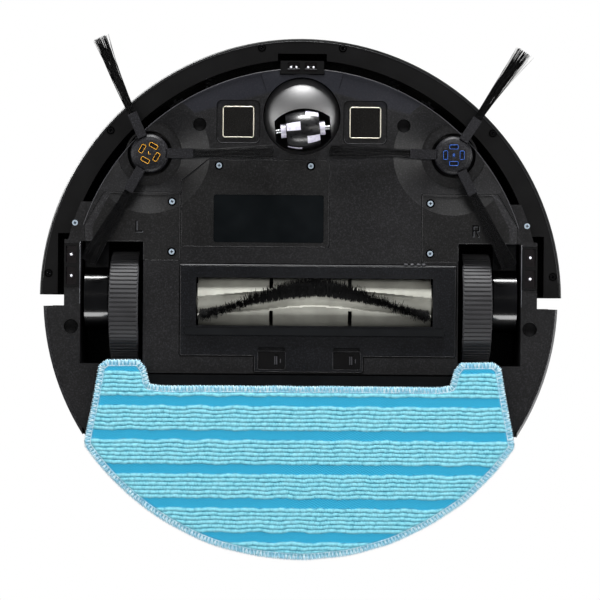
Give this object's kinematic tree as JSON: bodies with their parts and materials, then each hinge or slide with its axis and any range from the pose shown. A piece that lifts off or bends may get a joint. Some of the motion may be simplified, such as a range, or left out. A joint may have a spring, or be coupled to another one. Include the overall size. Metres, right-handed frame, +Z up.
{
  "type": "robot vacuum",
  "caption": "Low round robot vacuum cleaner with side brushes, a caged main roller, a swivel caster, sprung drive wheels, a dustbin and a water tank with a mop cloth.",
  "frame": {"origin": "on the floor under the middle of the body", "axes": "+Z up, front of the robot towards -Y, its drive axle along X"},
  "size_m": [0.332, 0.33, 0.078],
  "materials": {
    "black_textured": "textured",
    "black_satin": "satin",
    "black_gloss": "gloss",
    "label": "matte",
    "zinc_screw": "satin",
    "black_screw": "satin",
    "contact_steel": "polished",
    "spring_steel": "satin",
    "motor_steel": "satin",
    "tyre_rubber": "matte",
    "caster_gloss": "gloss",
    "bristle": "satin",
    "cream_rubber": "satin",
    "wiper_rubber": "matte",
    "white_plastic": "satin",
    "grey_plastic": "satin",
    "battery_wrap": "satin",
    "board_green": "satin",
    "filter_paper": "matte",
    "mop_microfibre": "matte"
  },
  "bodies": {
    "chassis": {"chassis_base": "black_textured", "rear_skirt": "black_textured", "top_shell": "black_textured", "top_panel": "black_gloss", "battery_pack": "battery_wrap", "battery_cover": "black_textured", "cover_label": "label", "wheel_cover_left": "black_textured", "wheel_cover_right": "black_textured", "plate_screws": "zinc_screw", "charge_contacts": "contact_steel", "cliff_sensors": "black_satin", "cliff_windows": "black_gloss", "drive_belt": "wiper_rubber", "main_board": "board_green", "fan_housing": "grey_plastic", "brush_motor": "motor_steel", "side_brush_motors": "black_satin", "bumper_springs": "spring_steel", "bumper_switches": "black_satin", "suspension_springs": "spring_steel"},
    "bumper": {"bumper_shell": "black_textured", "bumper_flange": "black_textured", "bumper_window": "black_gloss", "bumper_screws": "black_screw"},
    "caster_swivel": {"caster_dome": "black_satin", "caster_axle": "spring_steel"},
    "caster_roll": {"caster_wheel": "caster_gloss"},
    "arm_left": {"drive_arm_left": "black_gloss", "drive_motor_left": "motor_steel"},
    "arm_right": {"drive_arm_right": "black_gloss", "drive_motor_right": "motor_steel"},
    "wheel_left": {"wheel_hub_left": "black_satin", "tyre_left": "tyre_rubber"},
    "wheel_right": {"wheel_hub_right": "black_satin", "tyre_right": "tyre_rubber"},
    "side_brush_left": {"side_brush_hub_left": "black_satin", "side_bristles_left": "bristle"},
    "side_brush_right": {"side_brush_hub_right": "black_satin", "side_bristles_right": "bristle"},
    "roller": {"brush_core": "cream_rubber", "brush_blades": "cream_rubber", "brush_tufts": "bristle", "brush_pulley": "white_plastic"},
    "motor_drive": {"motor_pulley": "white_plastic"},
    "fan": {"fan_impeller": "white_plastic"},
    "guard": {"brush_cover": "black_textured", "brush_squeegee": "wiper_rubber"},
    "latch_left": {"cover_latch_left": "black_satin"},
    "latch_right": {"cover_latch_right": "black_satin"},
    "bin": {"dustbin": "grey_plastic", "dust_filter": "filter_paper"},
    "bin_push": {"bin_button": "black_satin"},
    "tank": {"water_tank": "black_satin", "tank_cap": "wiper_rubber", "mop_plate": "black_textured", "mop_cloth": "mop_microfibre"},
    "tank_push": {"tank_button": "black_satin"},
    "start_key": {"start_button": "black_satin"},
    "power_key": {"power_switch": "black_satin"}
  },
  "joints": [
    {"name": "bumper_press", "type": "slide", "parent": "chassis", "child": "bumper", "axis": [0, 1, 0], "range_m": [0, 0.003], "stiffness_N_per_m": 400, "deforming": ["bumper_springs"]},
    {"name": "caster_turn", "type": "hinge", "parent": "chassis", "child": "caster_swivel", "pos_m": [0, -0.115, 0.02], "axis": [0, 0, 1], "continuous": true},
    {"name": "caster_spin", "type": "hinge", "parent": "caster_swivel", "child": "caster_roll", "pos_m": [0.00072, -0.10673, 0.0125], "axis": [0.9962, -0.0872, 0], "continuous": true},
    {"name": "arm_left_swing", "type": "hinge", "parent": "chassis", "child": "arm_left", "pos_m": [-0.13, -0.048, 0.03], "axis": [1, 0, 0], "range_deg": [-18, 0], "stiffness_Nm_per_rad": 0.4, "springref_deg": -17.99, "deforming": ["suspension_springs"]},
    {"name": "arm_right_swing", "type": "hinge", "parent": "chassis", "child": "arm_right", "pos_m": [0.13, -0.048, 0.03], "axis": [1, 0, 0], "range_deg": [-18, 0], "stiffness_Nm_per_rad": 0.4, "springref_deg": -17.99, "deforming": ["suspension_springs"]},
    {"name": "wheel_left_spin", "type": "hinge", "parent": "arm_left", "child": "wheel_left", "pos_m": [-0.1116, 0.006, 0.035], "axis": [1, 0, 0], "continuous": true},
    {"name": "wheel_right_spin", "type": "hinge", "parent": "arm_right", "child": "wheel_right", "pos_m": [0.1116, 0.006, 0.035], "axis": [1, 0, 0], "continuous": true},
    {"name": "side_brush_left_spin", "type": "hinge", "parent": "chassis", "child": "side_brush_left", "pos_m": [-0.096, -0.0907, 0.01], "axis": [0, 0, 1], "continuous": true},
    {"name": "side_brush_right_spin", "type": "hinge", "parent": "chassis", "child": "side_brush_right", "pos_m": [0.096, -0.0907, 0.01], "axis": [0, 0, 1], "continuous": true},
    {"name": "roller_spin", "type": "hinge", "parent": "chassis", "child": "roller", "pos_m": [0.01, 0.0026, 0.024], "axis": [1, 0, 0], "continuous": true},
    {"name": "motor_spin", "type": "hinge", "parent": "chassis", "child": "motor_drive", "pos_m": [-0.0775, -0.02054, 0.05158], "axis": [1, 0, 0], "continuous": true},
    {"name": "fan_spin", "type": "hinge", "parent": "chassis", "child": "fan", "pos_m": [0.047, -0.055, 0.03], "axis": [0, 0, 1], "continuous": true},
    {"name": "guard_open", "type": "hinge", "parent": "chassis", "child": "guard", "pos_m": [0.01, -0.0198, 0.0099], "axis": [1, 0, 0], "range_deg": [-70, 0]},
    {"name": "latch_left_slide", "type": "slide", "parent": "guard", "child": "latch_left", "axis": [0, -1, 0], "range_m": [0, 0.0025], "stiffness_N_per_m": 300},
    {"name": "latch_right_slide", "type": "slide", "parent": "guard", "child": "latch_right", "axis": [0, -1, 0], "range_m": [0, 0.0025], "stiffness_N_per_m": 300},
    {"name": "bin_pull", "type": "slide", "parent": "chassis", "child": "bin", "axis": [0, 1, 0], "range_m": [0, 0.1]},
    {"name": "bin_button_press", "type": "slide", "parent": "bin", "child": "bin_push", "axis": [0, -1, 0], "range_m": [0, 0.002], "stiffness_N_per_m": 500},
    {"name": "tank_pull", "type": "slide", "parent": "chassis", "child": "tank", "axis": [0, 1, 0], "range_m": [0, 0.11]},
    {"name": "tank_button_press", "type": "slide", "parent": "tank", "child": "tank_push", "axis": [0, -1, 0], "range_m": [0, 0.002], "stiffness_N_per_m": 500},
    {"name": "start_press", "type": "slide", "parent": "chassis", "child": "start_key", "axis": [0, 0, -1], "range_m": [0, 0.001], "stiffness_N_per_m": 500},
    {"name": "power_slide", "type": "slide", "parent": "chassis", "child": "power_key", "axis": [0, 0, 1], "range_m": [0, 0.004]}
  ],
  "couplings": [
    {"joint": "motor_spin", "follows": "roller_spin", "ratio": 1.6667}
  ]
}
